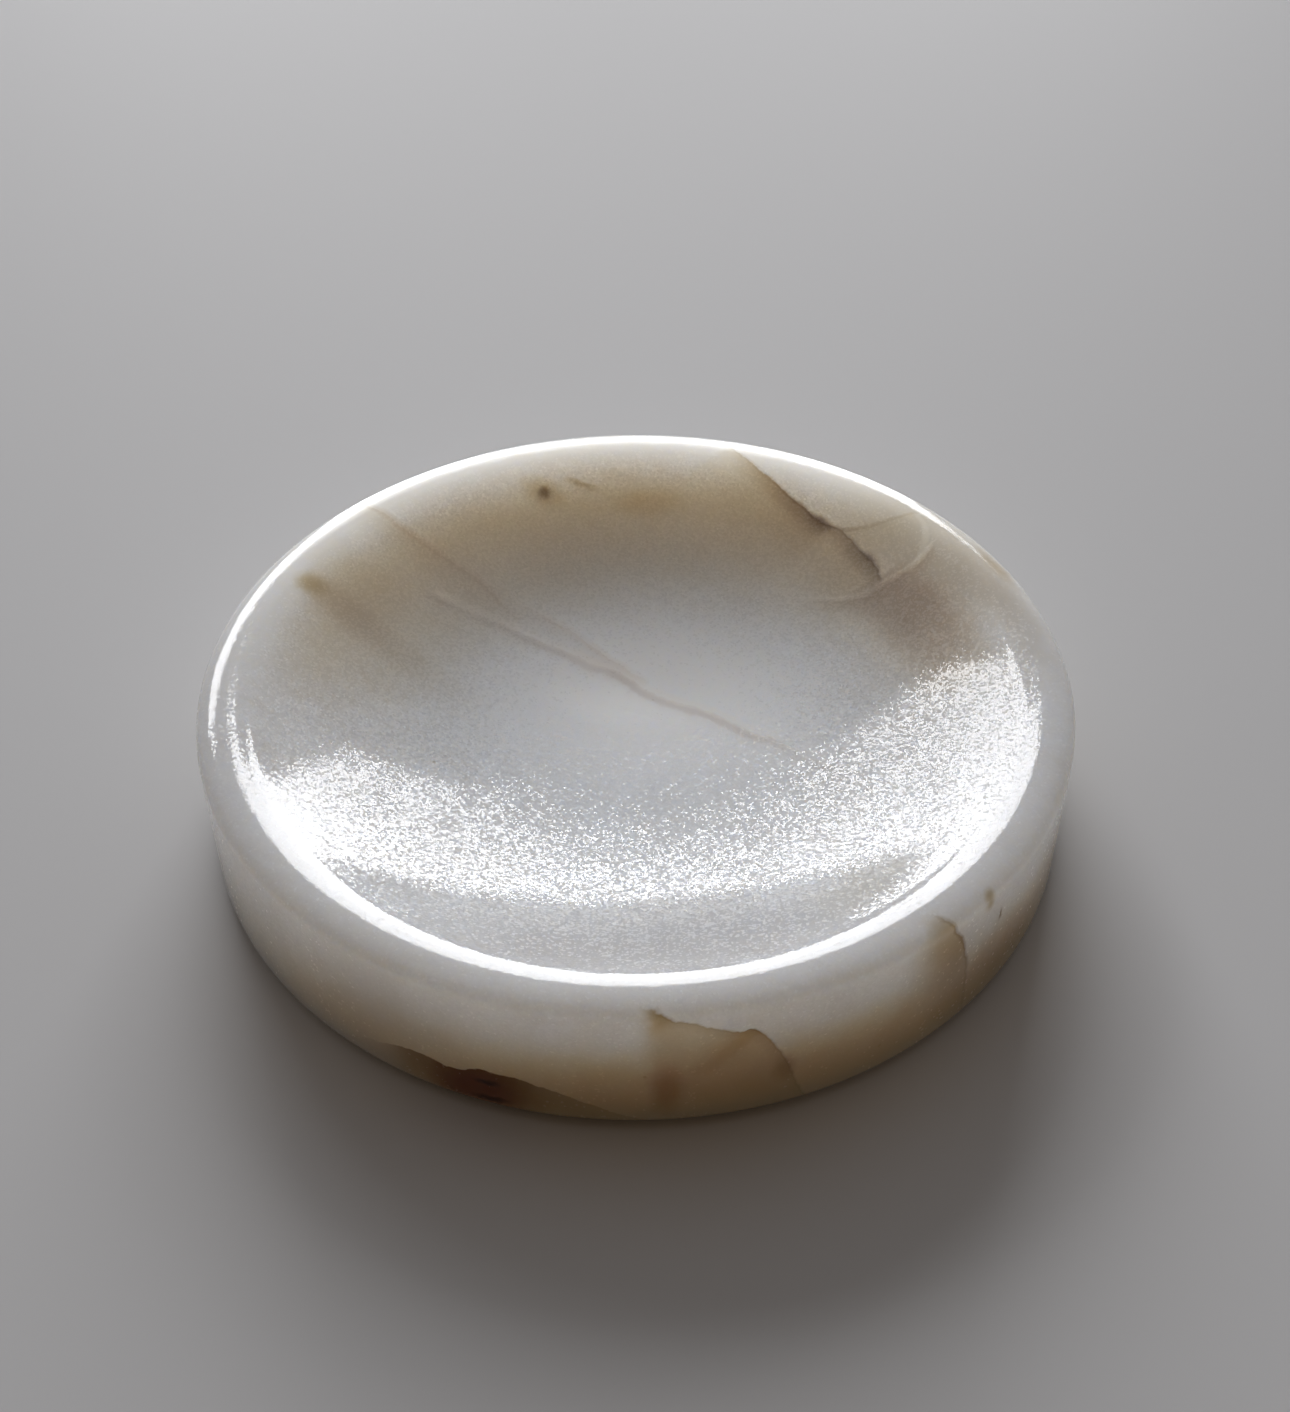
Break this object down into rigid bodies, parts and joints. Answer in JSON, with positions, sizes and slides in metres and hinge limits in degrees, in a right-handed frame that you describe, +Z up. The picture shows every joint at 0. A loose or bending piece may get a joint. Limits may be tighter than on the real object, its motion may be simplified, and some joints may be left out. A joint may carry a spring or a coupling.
{
  "type": "round stone soap dish",
  "caption": "Shallow round dish of polished, veined white marble with a spherical hollow, rounded rim and clear bumper pads under a flat base.",
  "frame": {"origin": "centre of the plane that the bumper pads stand on, on the dish's axis", "axes": "+Z up along the dish's axis of revolution, -Y towards the side whose wall has the darkest stain"},
  "size_m": [0.11, 0.11, 0.0205],
  "materials": {
    "marble": "polished, translucent, warm brown veins",
    "clear_pad": "clear soft polyurethane"
  },
  "bodies": {
    "root": {"stone_dish": "marble", "bumper_pad_1": "clear_pad", "bumper_pad_2": "clear_pad", "bumper_pad_3": "clear_pad", "bumper_pad_4": "clear_pad"}
  },
  "joints": []
}
